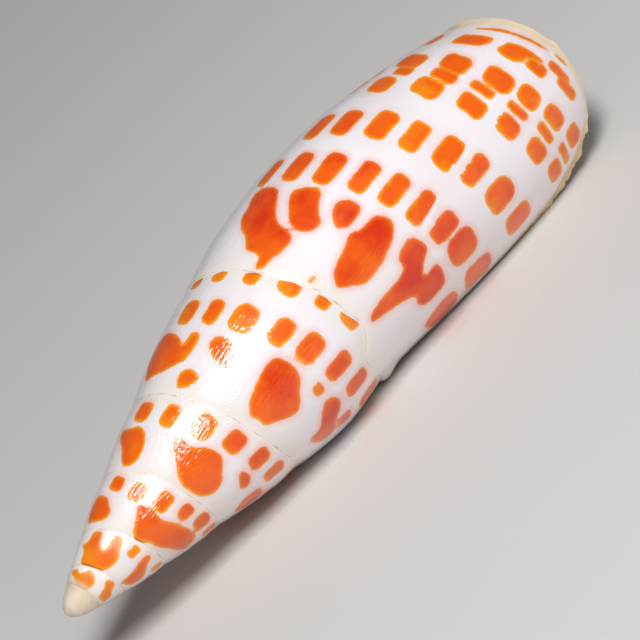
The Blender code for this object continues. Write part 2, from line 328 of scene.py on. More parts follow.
# The tip is the first shell that the snail ever had, worn blunt on the sea bed. Rings close
# it down to one point.
TIP_RINGS = 12
ring = whorl[:STEPS, 0]
around = turns[:STEPS]
for k in range(1, TIP_RINGS + 1):
    x_ring = TIP + (WORN_TIP - TIP) * (1.0 - math.sin(math.pi / 2 * k / (TIP_RINGS + 1)))
    inner = skin.add(outside(np.full(STEPS, x_ring), around), x=x_ring, turn=around,
                     kind=OUTER, edge=FRONT_TIP)
    skin.grid(np.stack([np.append(ring, ring[0]), np.append(inner, inner[0])]))
    ring = inner
tip = skin.add([[TIP, 0.0, 0.0]], x=TIP, turn=0.0, kind=OUTER, edge=FRONT_TIP)
skin.grid(np.stack([np.append(ring, ring[0]), np.repeat(tip, STEPS + 1)]))

# The body whorl in front of the seam is the same wall, carried on round the pillar, where
# it is the floor of the hollow. Rows crowd towards the front end.
INSET = 4.5
CAVITY_TURNS = 0.75
SHOULDER_ROWS = 8
WALL_ROWS = 112
ROW_CROWDING = 1.15
deep = int(round(CAVITY_TURNS * STEPS))
wall_turns = LIP - 1.0 + (np.arange(deep + STEPS + 1) - deep) / STEPS
grown = wall_turns - (LIP - 1.0)
seam = np.where(grown > 0, suture(np.array(LIP)) + JUNCTION_RUN * grown,
                suture(wall_turns + 1.0))
shoulder = np.linspace(0.0, 1.0, SHOULDER_ROWS + 1)[:-1]
down = np.sin(np.pi / 2 * np.linspace(0.0, 1.0, WALL_ROWS + 1) ** ROW_CROWDING)
inner_seam = seam + INSET
rows_near = seam[:, None] + INSET * shoulder[None, :]
rows_far = inner_seam[:, None] + (front_edge(wall_turns) - inner_seam)[:, None] * down[None, :]
x = np.concatenate([rows_near, rows_far], 1)
drawn = toothed(x, wall_turns[:, None])
to_lip = (LIP - wall_turns)[:, None] * 2 * np.pi * MEAN_RADIUS
to_front = np.abs(front_edge(wall_turns)[:, None] - x)
wall = skin.add(outside(x, drawn), x=x, turn=drawn, kind=OUTER,
                edge=np.minimum(to_lip, to_front))
wall[deep:, 0] = whorl[last_turn:, -1]
skin.grid(wall[deep:, :])
skin.grid(wall[:deep + 1, SHOULDER_ROWS:])

# The hollow's ceiling is the inner face of the wall, one wall's thickness in from the
# outside. It comes down on the floor behind the seam, at the notch, and a turn in.
WALL = 2.0
CAVITY_ROOF = 0.14
CAVITY_END = 0.2
NOTCH_TURN = -0.20
NOTCH_OPENING = 0.14
turns_in = LIP - np.arange(deep + 1) / STEPS
floor_side = wall[deep::-1, SHOULDER_ROWS:]
begin = suture(turns_in) + INSET
reach = begin[:, None] + (front_edge(turns_in) - begin)[:, None] * down[None, :]
drawn = toothed(reach, turns_in[:, None])
roof = inside(reach, drawn, WALL)
share = np.linspace(0.0, 1.0, WALL_ROWS + 1)[None, :]
opened = smooth((turns_in - NOTCH_TURN) / NOTCH_OPENING)[:, None]
shut = 1.0 - (1.0 - opened) * (1.0 - smooth((1.0 - share) / CAVITY_END))
free = smooth(share / CAVITY_ROOF) * shut
below = skin.at(floor_side)
ceiling = skin.add(below + (roof - below) * free[..., None], x=reach, turn=turns_in[:, None],
                   kind=INNER, edge=(LIP - turns_in)[:, None] * 2 * np.pi * MEAN_RADIUS)
notch_column = int(round((LIP - NOTCH_TURN) * STEPS))
ceiling[:, 0] = floor_side[:, 0]
ceiling[notch_column:, -1] = floor_side[notch_column:, -1]
skin.grid(ceiling)
skin.grid(np.stack([ceiling[-1], floor_side[-1]]))

# The edge of the lip and of the notch is rounded over from the outside to the ceiling, and
# is thinner than the wall behind it, as the newest part of the shell.
LIP_EDGE = 1.3
LIP_BULGE = 0.28
LIP_JOINED = 0.3
RIM_ROWS = 5
front = deep + STEPS
last_free = front - notch_column
lip_chain = np.concatenate([whorl[-1, :], wall[front, 1:]])
lip_back = np.concatenate([whorl[-2, :], wall[front - 1, 1:]])
edge_chain = wall[last_free:front, -1][::-1]
edge_back = wall[last_free:front, -2][::-1]
outer = np.concatenate([lip_chain, edge_chain])
behind = np.concatenate([lip_back, edge_back])
away = skin.at(outer) - skin.at(behind)
away /= np.linalg.norm(away, axis=1)[:, None]
places = skin.at(outer)
edge_turns = np.concatenate([np.full(len(lip_chain), LIP), wall_turns[last_free:front][::-1]])
inward = inside(places[:, 0], edge_turns, LIP_EDGE) - places
attached = smooth((places[:, 0] - suture(np.array(LIP)) - LIP_JOINED) / INSET)
attached = np.where(np.arange(len(outer)) < len(lip_chain), attached, 1.0)[:, None]
rim = outer
for k in range(1, RIM_ROWS + 1):
    bow = math.pi * k / (RIM_ROWS + 1)
    share_in = 0.5 * (1.0 - math.cos(bow))
    bulge = LIP_BULGE * LIP_EDGE * math.sin(bow) * away
    middle = places + (share_in * inward + bulge) * attached
    rim_next = skin.add(middle, x=places[:, 0], turn=edge_turns, kind=OUTER, edge=0.0)
    rim_next[0] = outer[0]
    skin.grid(np.stack([rim, rim_next]))
    rim = rim_next
inner_lip = np.concatenate([wall[deep, :SHOULDER_ROWS + 1], ceiling[0, 1:]])
inner_edge = ceiling[:notch_column + 1, -1]
skin.zip(rim[:len(lip_chain)], inner_lip)
skin.zip(rim[len(lip_chain) - 1:], inner_edge)

# The front end of the pillar is solid lime, closed with a shallow cone from its rim to one
# point on the axis.
PILLAR_END = 118.0
loop = np.append(wall[deep - notch_column:last_free + 1, -1], rim[-1])
centre = skin.add([[float(skin.at(loop)[:, 0].mean()), 0.0, 0.0]], x=PILLAR_END, turn=-1.0,
                  kind=INNER, edge=0.0)
skin.grid(np.stack([np.append(loop, loop[0]), np.repeat(centre, len(loop) + 1)]))

points = np.concatenate(skin.points)
faces = np.concatenate(skin.faces)
whole = ((faces[:, 0] != faces[:, 1]) & (faces[:, 1] != faces[:, 2])
         & (faces[:, 2] != faces[:, 0]))
faces = faces[whole]
painted = np.concatenate(skin.values)

# Markings are pigment that the snail laid down under the glaze, so they are colour alone:
# rows of squared spots, and larger flames in front of each seam. A place is millimetres
# along the axis and degrees round it on its whorl, and then comes how red the mark is.
ROW_SPOTS = {
    0: [
        (71.8, 77.8, -75.0, -65.5, 0.55), (73.3, 79.65, -58.1, -47.1, 0.80),
        (74.6, 81.2, -40.9, -30.0, 0.70), (76.2, 82.5, -22.9, -13.5, 0.68),
        (77.35, 83.5, -7.5, 2.1, 0.68), (78.1, 84.35, 8.4, 17.8, 0.72),
        (79.0, 84.6, 22.9, 34.0, 0.82), (79.5, 85.5, 35.9, 52.9, 0.92),
        (80.4, 86.9, 59.4, 76.9, 0.75),
        (82.3, 88.7, -68.8, -57.3, 0.45), (84.0, 90.2, -52.5, -41.0, 0.48),
        (85.9, 92.2, -35.0, -22.5, 0.30), (87.1, 93.3, -16.3, -6.0, 0.30),
        (88.1, 94.3, 0.9, 12.8, 0.38), (89.3, 95.2, 17.1, 26.9, 0.50),
        (90.0, 96.0, 33.4, 48.4, 0.48), (91.2, 97.1, 53.8, 68.1, 0.35),
        (94.8, 99.3, -57.8, -42.3, 0.36), (99.8, 102.3, -52.5, -38.8, 0.50),
        (101.8, 106.0, -58.8, -38.5, 0.45),
        (97.2, 101.4, -32.5, -14.8, 0.34), (101.6, 104.0, -29.0, -13.5, 0.48),
        (104.0, 108.2, -30.0, -11.9, 0.45),
        (98.8, 102.5, -6.5, 9.1, 0.34), (103.2, 105.2, -6.3, 7.8, 0.45),
        (105.4, 109.5, -4.6, 12.9, 0.42),
        (100.0, 103.7, 14.4, 28.5, 0.38), (104.3, 106.1, 14.1, 27.3, 0.42),
        (106.7, 110.5, 15.3, 28.5, 0.42),
        (101.3, 104.8, 35.0, 47.9, 0.38), (105.5, 107.3, 33.5, 46.0, 0.42),
        (107.9, 111.2, 31.9, 45.9, 0.45),
        (102.7, 106.0, 53.5, 65.4, 0.30), (106.8, 108.4, 51.3, 64.0, 0.35),
        (109.2, 112.7, 49.4, 61.9, 0.40),
        (112.7, 115.2, 10.0, 23.0, 0.42), (114.3, 116.5, 29.4, 45.0, 0.40),
        (115.6, 117.4, 21.3, 37.5, 0.42), (118.6, 119.6, 22.0, 33.0, 0.15),
        (59.8, 61.3, -8.8, -6.4, 0.10),
        (94.2, 98.9, -82.0, -66.0, 0.38), (99.2, 101.6, -79.0, -64.0, 0.45),
        (102.2, 105.8, -82.0, -68.0, 0.42), (109.0, 112.6, -72.0, -50.0, 0.38),
    ],
    -1: [
        (51.9, 54.6, -79.0, -68.6, 0.30), (53.1, 56.6, -60.7, -50.7, 0.10),
        (54.5, 58.4, -40.0, -30.3, 0.10), (55.9, 60.2, -20.7, -8.6, 0.12),
        (57.6, 61.5, 0.0, 8.6, 0.10), (58.6, 62.0, 15.0, 28.3, 0.15),
        (44.9, 49.4, -69.3, -55.7, 0.42), (45.9, 50.5, -48.6, -38.3, 0.32),
        (46.8, 51.8, -31.7, -17.4, 0.35), (48.3, 53.3, -8.6, 2.6, 0.30),
        (49.3, 54.5, 8.6, 21.1, 0.62), (50.7, 56.1, 29.3, 39.6, 0.78),
        (52.1, 57.3, 47.9, 58.9, 0.85), (53.8, 59.1, 67.9, 78.6, 0.75),
        (47.4, 49.3, 31.1, 38.9, 0.85), (48.7, 51.8, 65.0, 75.0, 0.75),
    ],
    -2: [
        (28.3, 31.9, -67.5, -49.7, 0.45), (29.0, 32.9, -39.2, -25.5, 0.20),
        (30.0, 34.3, -13.7, 2.5, 0.22), (31.6, 35.5, 11.7, 26.2, 0.62),
        (32.8, 36.7, 35.8, 48.3, 0.70), (33.8, 37.9, 56.2, 68.7, 0.70),
    ],
    -3: [
        (17.1, 19.8, -58.0, -38.3, 0.50), (17.0, 20.2, -29.0, -12.0, 0.05),
        (17.9, 21.4, 0.0, 15.8, 0.25), (19.5, 22.4, 24.7, 39.2, 0.85),
        (20.5, 23.6, 46.2, 63.3, 0.80), (21.5, 24.3, 69.0, 80.0, 0.70),
    ],
    -4: [(10.3, 12.3, 15.0, 28.3, 0.05), (11.8, 14.0, 64.0, 78.0, 0.25)],
}
FLAMES = {
    0: [
        (0.75, [(59.5, -46.3), (60.0, -49.4), (62.2, -54.4), (62.9, -60.0), (65.6, -66.9),
                (67.5, -65.6), (69.5, -69.4), (70.8, -68.0), (71.7, -63.1), (71.6, -53.8),
                (70.2, -50.6), (68.4, -48.0), (66.9, -44.0), (65.5, -40.0), (65.4, -33.5),
                (64.6, -27.6), (61.8, -28.5), (60.0, -31.2), (58.6, -31.3), (57.2, -33.0),
                (57.4, -36.9), (59.5, -38.1)]),
        (0.85, [(71.4, -45.3), (72.3, -44.4), (73.9, -35.0), (73.7, -30.6), (71.8, -28.8),
                (69.8, -25.0), (69.1, -20.9), (67.5, -21.3), (65.8, -27.5), (66.6, -35.0),
                (68.3, -38.8), (70.2, -43.1)]),
        (0.85, [(69.5, -14.1), (71.4, -20.0), (73.1, -21.5), (74.5, -19.4), (75.0, -14.4),
                (74.8, -10.0), (73.7, -8.8), (71.4, -9.0), (70.2, -10.6)]),
        (0.85, [(62.0, 6.3), (62.5, 2.5), (63.9, -1.9), (67.2, -3.8), (69.5, -6.5),
                (70.2, -6.5), (71.4, -3.8), (73.3, -3.1), (75.0, -2.9), (76.2, 2.5),
                (76.2, 6.9), (75.2, 9.4), (73.5, 12.5), (70.4, 15.6), (66.2, 16.5),
                (65.0, 13.8), (63.3, 9.4)]),
        (1.00, [(62.3, 33.8), (62.9, 29.4), (67.2, 28.1), (70.6, 28.1), (72.5, 25.6),
                (72.3, 21.9), (73.3, 18.8), (76.0, 17.3), (77.0, 20.6), (77.5, 28.8),
                (76.4, 30.6), (75.2, 33.1), (74.1, 37.5), (74.3, 40.0), (76.4, 37.8),
                (77.3, 39.4), (77.5, 45.0), (77.0, 52.5), (76.0, 53.8), (72.9, 55.0),
                (71.4, 52.5), (70.8, 48.1), (71.4, 45.0), (70.2, 41.3), (67.5, 38.1),
                (63.7, 35.0)]),
        (0.80, [(70.8, 71.3), (71.4, 66.9), (74.1, 62.5), (77.9, 62.5), (78.9, 71.3),
                (78.7, 80.0), (74.5, 83.8), (72.2, 78.8)]),
        (0.40, [(109.9, -36.5), (111.0, -38.2), (112.8, -36.0), (113.4, -31.0), (114.2, -20.0),
                (114.5, -14.0), (113.4, -13.6), (111.6, -17.0), (110.6, -27.0)]),
        (0.62, [(115.0, -33.0), (115.5, -32.0), (116.9, -17.0), (117.6, -6.0), (118.3, 4.0),
                (118.8, 15.0), (118.4, 19.0), (117.7, 8.0), (117.1, -4.0), (116.6, -13.0),
                (115.3, -26.0)]),
        (0.42, [(111.9, -5.0), (112.6, -8.6), (113.9, -6.3), (115.1, -5.0), (116.0, 3.8),
                (116.1, 17.5), (115.2, 18.7), (114.6, 10.0), (113.3, 9.6), (112.0, 3.8)]),
    ],
    -1: [
        (0.50, [(35.1, -74.3), (36.3, -81.4), (39.7, -87.0), (43.1, -81.4), (43.6, -65.7),
                (42.4, -55.7), (41.3, -50.7), (44.0, -50.7), (44.4, -45.7), (43.7, -42.1),
                (39.7, -42.9), (38.3, -50.0), (36.9, -57.1), (36.1, -68.6)]),
        (0.35, [(34.8, -38.6), (36.3, -42.9), (37.7, -43.1), (38.7, -37.1), (38.4, -30.0),
                (37.6, -27.1), (36.1, -31.4)]),
        (0.40, [(41.1, -15.7), (41.3, -25.7), (42.7, -33.6), (44.4, -35.0), (45.5, -28.6),
                (45.2, -21.4), (43.6, -17.1), (41.9, -12.1)]),
        (0.80, [(38.0, 12.9), (39.4, 7.1), (41.9, 4.3), (44.1, 2.1), (47.2, 1.4),
                (47.9, 10.0), (47.9, 17.9), (47.2, 22.9), (45.8, 27.1), (44.7, 34.3),
                (43.4, 35.7), (41.9, 34.3), (39.9, 30.0), (38.3, 27.1), (38.4, 21.4),
                (37.9, 16.4)]),
        (0.92, [(46.5, 51.4), (47.7, 44.3), (49.7, 45.0), (50.6, 52.9), (49.9, 57.9),
                (48.6, 61.4), (48.0, 71.4), (47.2, 75.0), (44.7, 72.9), (43.0, 61.4),
                (45.5, 59.3)]),
    ],
    -2: [
        (0.50, [(21.0, -51.7), (22.1, -58.3), (24.0, -65.0), (25.7, -80.0), (27.2, -80.0),
                (27.1, -65.0), (27.8, -56.7), (27.5, -46.7), (25.7, -40.0), (23.4, -38.0),
                (21.8, -41.7)]),
        (0.55, [(27.2, -16.7), (28.2, -17.5), (28.9, -13.3), (28.6, -3.3), (30.0, 3.3),
                (30.5, 14.2), (30.3, 21.7), (28.9, 28.3), (27.9, 35.8), (26.4, 38.3),
                (24.6, 34.2), (23.7, 25.0), (23.3, 11.7), (24.0, 1.7), (25.7, -6.7)]),
        (0.75, [(30.9, 37.5), (31.9, 43.3), (32.1, 50.0), (31.1, 56.3), (29.8, 54.2),
                (29.7, 50.0)]),
        (0.75, [(27.3, 76.7), (29.0, 68.3), (32.3, 64.2), (33.2, 71.7), (32.9, 81.7),
                (29.6, 86.7)]),
    ],
    -3: [
        (0.45, [(11.6, -73.3), (12.9, -81.7), (15.9, -76.7), (16.1, -60.0), (15.7, -50.0),
                (14.8, -41.7), (13.9, -35.8), (12.5, -41.7), (11.9, -58.3)]),
        (0.60, [(15.9, -6.7), (16.8, -11.7), (17.6, -6.7), (17.7, 10.0), (17.5, 20.0),
                (18.2, 26.7), (19.4, 41.7), (20.3, 60.0), (20.3, 70.0), (18.4, 78.3),
                (17.1, 70.0), (15.9, 56.7), (14.6, 43.3), (14.1, 31.7), (12.9, 16.7),
                (12.8, 10.0), (13.7, 1.7), (15.1, -5.0)]),
    ],
    -4: [
        (0.15, [(5.4, -50.0), (7.6, -53.0), (8.3, -68.0), (8.6, -51.7), (10.9, -51.7),
                (11.1, -33.3), (9.0, -23.3), (8.6, -13.3), (10.1, -13.3), (11.6, -12.5),
                (11.7, 0.0), (10.1, 5.0), (8.7, 15.0), (6.5, 10.0), (5.9, -6.7),
                (5.5, -23.3)]),
        (0.35, [(6.6, 48.3), (9.6, 45.0), (11.2, 38.3), (12.6, 40.0), (12.9, 46.7),
                (11.5, 53.3), (10.4, 73.3), (8.2, 75.0), (7.3, 60.0)]),
    ],
    -5: [
        (0.05, [(2.6, -31.7), (3.4, -51.7), (4.1, -70.0), (4.7, -48.3), (4.0, -35.0),
                (4.8, -25.0), (5.5, -10.0), (4.8, 3.3), (4.0, 11.7), (2.6, 8.3)]),
        (0.15, [(5.7, 18.3), (6.4, 43.3), (5.1, 51.7), (4.6, 66.7), (3.2, 70.0),
                (3.0, 43.3), (4.3, 35.0)]),
    ],
}
MARK_REACH = 3.0
SPOT_CORNER = 0.72
BLUSH = 0.2

surface_x = painted[:, 0]
leaned = painted[:, 1] + slant(surface_x)
arc = np.maximum(radius(surface_x, leaned), 0.5) * 2 * np.pi
mark = np.full(len(points), -MARK_REACH)
warmth = np.zeros(len(points))
on_outside = painted[:, 2] == OUTER


def near_spot(low_x, high_x, low_turn, high_turn):
    """Numbers of the outer points within reach of a box in x and turns."""
    reach_turn = MARK_REACH / np.maximum(arc, 1.0)
    close = on_outside & (surface_x > low_x - MARK_REACH) & (surface_x < high_x + MARK_REACH)
    close &= (leaned > low_turn - reach_turn) & (leaned < high_turn + reach_turn)
    return np.nonzero(close)[0]


def stain(near, depth, warm):
    """Keeps the deepest mark at each point, with its warmth."""
    deeper = depth > mark[near]
    mark[near[deeper]] = depth[deeper]
    warmth[near[deeper]] = warm[deeper]


def squared_spot(low_x, high_x, low_turn, high_turn, warm):
    """Depth inside a box with round corners, in millimetres: the corner's radius less the
    distance from the box within it. The front of a spot is redder than its back."""
    near = near_spot(low_x, high_x, low_turn, high_turn)
    if len(near) == 0:
        return
    middle_x = 0.5 * (low_x + high_x)
    middle_turn = 0.5 * (low_turn + high_turn)
    s = (leaned[near] - middle_turn) * arc[near]
    u = surface_x[near] - middle_x
    half_u = 0.5 * (high_x - low_x)
    half_s = 0.5 * (high_turn - low_turn) * np.median(arc[near])
    corner = SPOT_CORNER * min(half_u, half_s)
    out_u = np.abs(u) - (half_u - corner)
    out_s = np.abs(s) - (half_s - corner)
    away = np.hypot(np.maximum(out_u, 0.0), np.maximum(out_s, 0.0))
    stain(near, corner - away - np.minimum(np.maximum(out_u, out_s), 0.0),
          warm + BLUSH * np.clip(u / half_u, -1.0, 1.0))


def rounded(outline):
    """Outline with its corners cut twice, a quarter from each end of every side."""
    for _ in range(2):
        ahead = np.roll(outline, -1, axis=0)
        outline = np.stack([0.75 * outline + 0.25 * ahead,
                            0.25 * outline + 0.75 * ahead], 1).reshape(-1, 2)
    return outline


def flame(outline, warm):
    """Depth inside a drawn outline: distance to its nearest side, in millimetres, positive
    where a ray along the axis crosses the outline an odd number of times."""
    outline = rounded(np.asarray(outline, float))
    near = near_spot(outline[:, 0].min(), outline[:, 0].max(),
                     outline[:, 1].min(), outline[:, 1].max())
    if len(near) == 0:
        return
    scale = np.median(arc[near])
    at = np.stack([surface_x[near], leaned[near] * scale], -1)[:, None, :]
    corner = outline * np.array([1.0, scale])
    side = np.roll(corner, -1, axis=0) - corner
    from_corner = at - corner[None]
    along = np.sum(from_corner * side, -1) / np.sum(side * side, -1)
    gap = from_corner - np.clip(along, 0.0, 1.0)[..., None] * side
    distance = np.sqrt(np.min(np.sum(gap * gap, -1), axis=1))
    ahead = corner + side
    spans = (corner[:, 1] > at[..., 1]) != (ahead[:, 1] > at[..., 1])
    slope = side[:, 0] / np.where(side[:, 1] == 0, 1e-9, side[:, 1])
    crossing = corner[:, 0] + (at[..., 1] - corner[:, 1]) * slope
    within = np.sum(spans & (crossing > at[..., 0]), axis=1) % 2 == 1
    half_x = 0.5 * np.ptp(outline[:, 0])
    ahead_of = (surface_x[near] - outline[:, 0].min()) / half_x - 1.0
    stain(near, np.where(within, distance, -distance), warm + BLUSH * np.clip(ahead_of, -1.0, 1.0))


for whorl_number, spots in ROW_SPOTS.items():
    for low_x, high_x, low, high, warm in spots:
        squared_spot(low_x, high_x, whorl_number + low / 360, whorl_number + high / 360, warm)
for whorl_number, flames in FLAMES.items():
    for warm, outline in flames:
        flame([(at_x, whorl_number + degrees / 360) for at_x, degrees in outline], warm)

# On the sides that no picture shows, the rows carry on round each whorl, and the flames of
# the back come again half a turn on, no two alike. A row is a share of the seam's distance
# from the spire's true apex, with its half length, degrees between spots, and redness.
ROWS_AWAY = ((1.335, 0.046, 16.6, 0.65), (1.500, 0.048, 17.6, 0.40),
             (1.650, 0.028, 19.5, 0.36), (1.712, 0.014, 19.5, 0.45),
             (1.765, 0.030, 19.5, 0.42), (1.850, 0.026, 24.0, 0.42),
             (1.990, 0.034, 25.0, 0.40), (2.090, 0.020, 25.0, 0.45))
HIDDEN_BODY = (-282.0, -80.0)
HIDDEN_SPIRE = (-279.0, -92.0)
SPIRE_ROWS = 2
TIP_ROWS = 1
TIP_SPACING = 1.35
ROWS_END = 7.0
LAST_WHORL = -5
OLDEST_WIDE = -2
BY_FRONT = 100.0
FLAME_SHIFT = -172.0
FLAME_DRIFT = 7.0
chance = np.random.default_rng(7)
for whorl_number in range(0, LAST_WHORL - 1, -1):
    low_away, high_away = HIDDEN_BODY if whorl_number == 0 else HIDDEN_SPIRE
    rows = ROWS_AWAY if whorl_number == 0 else ROWS_AWAY[:SPIRE_ROWS]
    rows = rows if whorl_number >= OLDEST_WIDE else ROWS_AWAY[:TIP_ROWS]
    for row, half, spacing, warm in rows:
        pitch = spacing * (1.0 if whorl_number >= OLDEST_WIDE else TIP_SPACING)
        degrees = low_away + pitch * chance.uniform(0.2, 0.6)
        while degrees < high_away:
            middle = whorl_number + degrees / 360
            here = SPIRE_SCALE * GROWTH_PER_TURN ** middle
            x_middle = here * (row + chance.uniform(-0.006, 0.006)) - SPIRE_OFFSET
            half_x = here * half * chance.uniform(0.9, 1.1)
            if x_middle + half_x > FRONT_TIP - ROWS_END:
                break
            half_turn = pitch * chance.uniform(0.27, 0.36) / 360
            squared_spot(x_middle - half_x, x_middle + half_x, middle - half_turn,
                         middle + half_turn, warm + chance.uniform(-0.1, 0.1))
            degrees += pitch * chance.uniform(0.92, 1.08)
    for warm, outline in FLAMES[whorl_number]:
        if outline[0][0] > BY_FRONT:
            continue
        shift = FLAME_SHIFT + chance.uniform(-FLAME_DRIFT, FLAME_DRIFT)
        stretch = chance.uniform(0.85, 1.15)
        flipped = []
        middle = np.mean([degrees for _, degrees in outline])
        for at_x, degrees in outline:
            seam_here = SPIRE_SCALE * GROWTH_PER_TURN ** (whorl_number + degrees / 360)
            moved = whorl_number + (middle + shift + stretch * (middle - degrees)) / 360
            seam_there = SPIRE_SCALE * GROWTH_PER_TURN ** moved
            share_out = (at_x + SPIRE_OFFSET) / seam_here
            flipped.append((seam_there * share_out - SPIRE_OFFSET, moved))
        flame(flipped, warm)

# An old stop in growth crosses the back: for a while this was the lip, and the spots that
# it cut through start again with a torn edge. It shows as a faint line.
BREAK_AT = np.array([70.0, 76.0, 82.0, 92.0, 101.0, 106.0])
BREAK_DEGREES = np.array([30.0, 27.0, 22.6, 17.0, 15.5, 14.0])
BREAK_WAVES = ((3.1, 0.0, 0.22), (7.7, 1.0, 0.16))
BREAK_FROM = 78.0
BREAK_TO = 104.0
BREAK_REACH = 1.6
from_break = (leaned - curve(surface_x, BREAK_AT, BREAK_DEGREES) / 360) * arc
torn = waves(surface_x, BREAK_WAVES)
crossing = on_outside & (surface_x > BREAK_FROM) & (surface_x < BREAK_TO) & (np.abs(leaned) < 0.3)
past = crossing & (np.abs(from_break) < BREAK_REACH)
mark[past] = np.minimum(mark[past], from_break[past] + torn[past])
break_line = np.where(crossing, np.abs(from_break + 0.5 * torn), FRONT_TIP)

# Distance to the nearest seam, where the shell is creamier, and the mouth, whose lining has
# no markings: the ceiling of the hollow, and the wall before it once it is under the lip
MOUTH_TURN = 0.965
MOUTH_FADE = 0.03
MARK_FLOOR = 2.0
MARK_DROP = 40.0
to_seam = np.minimum(np.abs(surface_x - suture(painted[:, 1])),
                     np.abs(surface_x - suture(painted[:, 1] + 1.0)))
to_seam = np.where(painted[:, 1] + 1.0 > LIP, np.abs(surface_x - suture(painted[:, 1])),
                   to_seam)
under_lip = smooth((LIP - MOUTH_TURN - painted[:, 1]) / MOUTH_FADE)
under_lip = under_lip * (surface_x > suture(painted[:, 1] + 1.0) + 0.05)
mouth = np.where(on_outside, under_lip, 1.0)
mark = np.minimum(mark, MARK_FLOOR - MARK_DROP * mouth)

# The shell is rolled onto its belly and the edge of its lip, where it is worn flat, and its
# lowest points lie on the floor.
REST_ROLL = math.radians(62.0)
REST_PITCH = math.radians(0.9)
REST_DEPTH = 14.65
CAD_OFFSET = np.array([59.735, -0.508, -REST_DEPTH])
SHARP_FROM = math.radians(42.0)
GRAIN_RADIUS = 17.0
used = np.unique(faces)
renumber = np.zeros(len(points), int)
renumber[used] = np.arange(len(used))
rest = np.array(Matrix.Rotation(-REST_PITCH, 3, "Y") @ Matrix.Rotation(REST_ROLL, 3, "X"))
laid = points @ rest.T
laid[:, 2] = np.maximum(laid[:, 2], -REST_DEPTH)
laid = (laid - CAD_OFFSET) * MM

mesh = bpy.data.meshes.new("glazed_shell")
mesh.vertices.add(len(used))
mesh.vertices.foreach_set("co", laid[used].astype(np.float32).ravel())
mesh.loops.add(faces.size)
mesh.loops.foreach_set("vertex_index", renumber[faces].ravel().astype(np.int32))
mesh.polygons.add(len(faces))
mesh.polygons.foreach_set("loop_start", np.arange(0, faces.size, 3, dtype=np.int32))
mesh.update(calc_edges=True)
mesh.validate()
solid = bmesh.new()
solid.from_mesh(mesh)
bmesh.ops.recalc_face_normals(solid, faces=solid.faces)
solid.to_mesh(mesh)
solid.free()
mesh.shade_smooth()
mesh.set_sharp_from_angle(angle=SHARP_FROM)
for name, values in (("mark", mark), ("warmth", warmth), ("to_seam", to_seam),
                     ("to_edge", painted[:, 3]), ("mouth", mouth), ("break_line", break_line)):
    layer = mesh.attributes.new(name, "FLOAT", "POINT")
    layer.data.foreach_set("value", values[used].astype(np.float32))

# Length grown at each corner of each face: where a face meets the next whorl's seam, its
# corners there count one turn less, so that the growth lines run up to the seam unbroken
corners = np.empty(faces.size, np.int32)
mesh.loops.foreach_get("vertex_index", corners)
corners = used[corners].reshape(-1, 3)
grown = leaned[corners]
grown = np.where(grown > grown.min(axis=1)[:, None] + 0.5, grown - 1.0, grown)
laid_down = np.stack([surface_x[corners], grown * 2 * np.pi * GRAIN_RADIUS,
                      painted[corners, 2]], -1)
layer = mesh.attributes.new("laid_down", "FLOAT_VECTOR", "CORNER")
layer.data.foreach_set("vector", laid_down.astype(np.float32).ravel())


def linear(hex_colour):
    """sRGB hex colour turned to linear light."""
    channels = [int(hex_colour[i:i + 2], 16) / 255 for i in (1, 3, 5)]
    return tuple(c / 12.92 if c <= 0.04045 else ((c + 0.055) / 1.055) ** 2.4
                 for c in channels) + (1.0,)


def node(kind, inputs=None, out=0, **settings):
    """Adds a node, sets its properties, sets or links its inputs, and returns an output."""
    made = tree.nodes.new(kind)
    for name, value in settings.items():
        setattr(made, name, value)
    for name, value in (inputs or {}).items():
        if isinstance(value, bpy.types.NodeSocket):
            tree.links.new(value, made.inputs[name])
        else:
            made.inputs[name].default_value = value
    return made.outputs[out]


# Glazed lime, as the snail leaves it: a clear glassy skin over white shell. Pigment lies
# under the skin, yellow where a spot is thin at its rim and red where it is thick, and it
# glows pink into the white beside it. Worn lime at the tip and the lip's edge is cream.
glaze = bpy.data.materials.new("glazed_shell_lime")
glaze.use_nodes = True
tree = glaze.node_tree
shader = tree.nodes["Principled BSDF"]
carried = {name: node("ShaderNodeAttribute", out="Fac", attribute_name=name)
           for name in ("mark", "warmth", "to_seam", "to_edge", "mouth", "break_line")}
laid_at = node("ShaderNodeAttribute", out="Vector", attribute_name="laid_down")
along = node("ShaderNodeSeparateXYZ", {0: laid_at})
body = node("ShaderNodeTexCoord", out="Object")

# Noise: lumps in each metre of the body, octaves, and how far it moves a value either way
NOISE = {"fine": (1100.0, 3.0, 0.16), "coarse": (260.0, 3.0, 0.34), "cloud": (60.0, 2.0, 1.0),
         "redness": (170.0, 3.0, 0.9), "margin": (300.0, 3.0, 1.1), "hair": (600.0, 2.0, 0.25)}
lumps = {}
for name, (scale, octaves, swing) in NOISE.items():
    raw = node("ShaderNodeTexNoise", {"Vector": body, "Scale": scale, "Detail": octaves})
    lumps[name] = node("ShaderNodeMapRange", {"Value": raw, "From Min": 0.0, "From Max": 1.0,
                                              "To Min": -swing, "To Max": swing})
depth = node("ShaderNodeMath", {0: carried["mark"], 1: lumps["fine"]}, operation="ADD")
depth = node("ShaderNodeMath", {0: depth, 1: lumps["coarse"]}, operation="ADD")
warm = node("ShaderNodeMath", {0: carried["warmth"], 1: lumps["redness"]}, operation="ADD")
margin = node("ShaderNodeMath", {0: carried["to_edge"], 1: lumps["margin"]}, operation="ADD")
hair = node("ShaderNodeMath", {0: carried["to_seam"], 1: lumps["hair"]}, operation="ADD")

